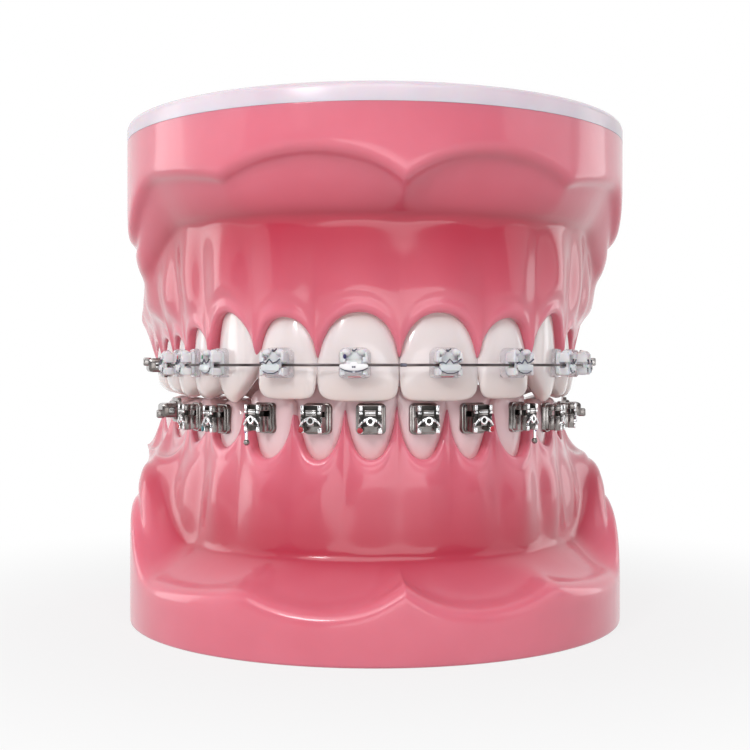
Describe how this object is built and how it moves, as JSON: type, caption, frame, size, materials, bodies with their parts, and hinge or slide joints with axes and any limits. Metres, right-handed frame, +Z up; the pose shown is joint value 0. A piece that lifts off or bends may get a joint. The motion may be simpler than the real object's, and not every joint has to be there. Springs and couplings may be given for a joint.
{
  "type": "orthodontic demonstration model",
  "caption": "Hinged model of upper and lower jaws in pink gum bases, with clear brackets and an archwire on the upper teeth and steel brackets on the lower teeth.",
  "frame": {"origin": "underside of the lower gum base, at the centre of its round front", "axes": "+X to the right seen from the front, +Y to the back where the hinge is, +Z up"},
  "size_m": [0.06, 0.0567, 0.0587],
  "materials": {
    "gum": "glossy, slightly clouded pink resin",
    "pale_plate": "pale, slightly frosted resin",
    "tooth": "glossy ivory resin",
    "clear_ceramic": "translucent ceramic",
    "bracket_steel": "tumbled stainless steel",
    "wire_steel": "drawn wire",
    "hinge_steel": "stamped steel"
  },
  "bodies": {
    "lower_jaw": {"lower_gum": "gum", "lower_left_teeth": "tooth", "lower_right_teeth": "tooth", "lower_left_central_bracket": "bracket_steel", "lower_left_lateral_bracket": "bracket_steel", "lower_left_canine_bracket": "bracket_steel", "lower_left_first_premolar_bracket": "bracket_steel", "lower_left_second_premolar_bracket": "bracket_steel", "lower_left_molar_tube": "bracket_steel", "lower_right_central_bracket": "bracket_steel", "lower_right_lateral_bracket": "bracket_steel", "lower_right_canine_bracket": "bracket_steel", "lower_right_first_premolar_bracket": "bracket_steel", "lower_right_second_premolar_bracket": "bracket_steel", "lower_right_molar_tube": "bracket_steel", "lower_hinge_leaf": "hinge_steel", "lower_hinge_screw_1": "hinge_steel", "lower_hinge_screw_2": "hinge_steel", "hinge_pin": "hinge_steel"},
    "upper_jaw": {"upper_gum": "gum", "upper_plate": "pale_plate", "upper_left_teeth": "tooth", "upper_right_teeth": "tooth", "upper_left_central_bracket": "clear_ceramic", "upper_left_lateral_bracket": "clear_ceramic", "upper_left_canine_bracket": "clear_ceramic", "upper_left_first_premolar_bracket": "clear_ceramic", "upper_left_second_premolar_bracket": "clear_ceramic", "upper_left_molar_tube": "bracket_steel", "upper_right_central_bracket": "clear_ceramic", "upper_right_lateral_bracket": "clear_ceramic", "upper_right_canine_bracket": "clear_ceramic", "upper_right_first_premolar_bracket": "clear_ceramic", "upper_right_second_premolar_bracket": "clear_ceramic", "upper_right_molar_tube": "bracket_steel", "archwire": "wire_steel", "upper_hinge_leaf": "hinge_steel", "upper_hinge_screw_1": "hinge_steel", "upper_hinge_screw_2": "hinge_steel"},
    "upper_left_central_slide": {"upper_left_central_slide": "clear_ceramic"},
    "upper_left_lateral_slide": {"upper_left_lateral_slide": "clear_ceramic"},
    "upper_left_canine_slide": {"upper_left_canine_slide": "clear_ceramic"},
    "upper_left_first_premolar_slide": {"upper_left_first_premolar_slide": "clear_ceramic"},
    "upper_left_second_premolar_slide": {"upper_left_second_premolar_slide": "clear_ceramic"},
    "upper_right_central_slide": {"upper_right_central_slide": "clear_ceramic"},
    "upper_right_lateral_slide": {"upper_right_lateral_slide": "clear_ceramic"},
    "upper_right_canine_slide": {"upper_right_canine_slide": "clear_ceramic"},
    "upper_right_first_premolar_slide": {"upper_right_first_premolar_slide": "clear_ceramic"},
    "upper_right_second_premolar_slide": {"upper_right_second_premolar_slide": "clear_ceramic"},
    "lower_left_central_slide": {"lower_left_central_slide": "bracket_steel"},
    "lower_left_lateral_slide": {"lower_left_lateral_slide": "bracket_steel"},
    "lower_left_canine_slide": {"lower_left_canine_slide": "bracket_steel"},
    "lower_left_first_premolar_slide": {"lower_left_first_premolar_slide": "bracket_steel"},
    "lower_left_second_premolar_slide": {"lower_left_second_premolar_slide": "bracket_steel"},
    "lower_right_central_slide": {"lower_right_central_slide": "bracket_steel"},
    "lower_right_lateral_slide": {"lower_right_lateral_slide": "bracket_steel"},
    "lower_right_canine_slide": {"lower_right_canine_slide": "bracket_steel"},
    "lower_right_first_premolar_slide": {"lower_right_first_premolar_slide": "bracket_steel"},
    "lower_right_second_premolar_slide": {"lower_right_second_premolar_slide": "bracket_steel"}
  },
  "joints": [
    {"name": "jaw_hinge", "type": "hinge", "parent": "lower_jaw", "child": "upper_jaw", "pos_m": [0, 0.02496, 0.0285], "axis": [-1, 0, 0], "range_deg": [0, 60]},
    {"name": "upper_left_central_slide_travel", "type": "slide", "parent": "upper_jaw", "child": "upper_left_central_slide", "axis": [0, 0, -1], "range_m": [0, 0.001]},
    {"name": "upper_left_lateral_slide_travel", "type": "slide", "parent": "upper_jaw", "child": "upper_left_lateral_slide", "axis": [0, 0, -1], "range_m": [0, 0.001]},
    {"name": "upper_left_canine_slide_travel", "type": "slide", "parent": "upper_jaw", "child": "upper_left_canine_slide", "axis": [0, 0, -1], "range_m": [0, 0.001]},
    {"name": "upper_left_first_premolar_slide_travel", "type": "slide", "parent": "upper_jaw", "child": "upper_left_first_premolar_slide", "axis": [0, 0, -1], "range_m": [0, 0.001]},
    {"name": "upper_left_second_premolar_slide_travel", "type": "slide", "parent": "upper_jaw", "child": "upper_left_second_premolar_slide", "axis": [0, 0, -1], "range_m": [0, 0.001]},
    {"name": "upper_right_central_slide_travel", "type": "slide", "parent": "upper_jaw", "child": "upper_right_central_slide", "axis": [0, 0, -1], "range_m": [0, 0.001]},
    {"name": "upper_right_lateral_slide_travel", "type": "slide", "parent": "upper_jaw", "child": "upper_right_lateral_slide", "axis": [0, 0, -1], "range_m": [0, 0.001]},
    {"name": "upper_right_canine_slide_travel", "type": "slide", "parent": "upper_jaw", "child": "upper_right_canine_slide", "axis": [0, 0, -1], "range_m": [0, 0.001]},
    {"name": "upper_right_first_premolar_slide_travel", "type": "slide", "parent": "upper_jaw", "child": "upper_right_first_premolar_slide", "axis": [0, 0, -1], "range_m": [0, 0.001]},
    {"name": "upper_right_second_premolar_slide_travel", "type": "slide", "parent": "upper_jaw", "child": "upper_right_second_premolar_slide", "axis": [0, 0, -1], "range_m": [0, 0.001]},
    {"name": "lower_left_central_slide_travel", "type": "slide", "parent": "lower_jaw", "child": "lower_left_central_slide", "axis": [0, 0, -1], "range_m": [0, 0.001]},
    {"name": "lower_left_lateral_slide_travel", "type": "slide", "parent": "lower_jaw", "child": "lower_left_lateral_slide", "axis": [0, 0, -1], "range_m": [0, 0.001]},
    {"name": "lower_left_canine_slide_travel", "type": "slide", "parent": "lower_jaw", "child": "lower_left_canine_slide", "axis": [0, 0, -1], "range_m": [0, 0.001]},
    {"name": "lower_left_first_premolar_slide_travel", "type": "slide", "parent": "lower_jaw", "child": "lower_left_first_premolar_slide", "axis": [0, 0, -1], "range_m": [0, 0.001]},
    {"name": "lower_left_second_premolar_slide_travel", "type": "slide", "parent": "lower_jaw", "child": "lower_left_second_premolar_slide", "axis": [0, 0, -1], "range_m": [0, 0.001]},
    {"name": "lower_right_central_slide_travel", "type": "slide", "parent": "lower_jaw", "child": "lower_right_central_slide", "axis": [0, 0, -1], "range_m": [0, 0.001]},
    {"name": "lower_right_lateral_slide_travel", "type": "slide", "parent": "lower_jaw", "child": "lower_right_lateral_slide", "axis": [0, 0, -1], "range_m": [0, 0.001]},
    {"name": "lower_right_canine_slide_travel", "type": "slide", "parent": "lower_jaw", "child": "lower_right_canine_slide", "axis": [0, 0, -1], "range_m": [0, 0.001]},
    {"name": "lower_right_first_premolar_slide_travel", "type": "slide", "parent": "lower_jaw", "child": "lower_right_first_premolar_slide", "axis": [0, 0, -1], "range_m": [0, 0.001]},
    {"name": "lower_right_second_premolar_slide_travel", "type": "slide", "parent": "lower_jaw", "child": "lower_right_second_premolar_slide", "axis": [0, 0, -1], "range_m": [0, 0.001]}
  ]
}
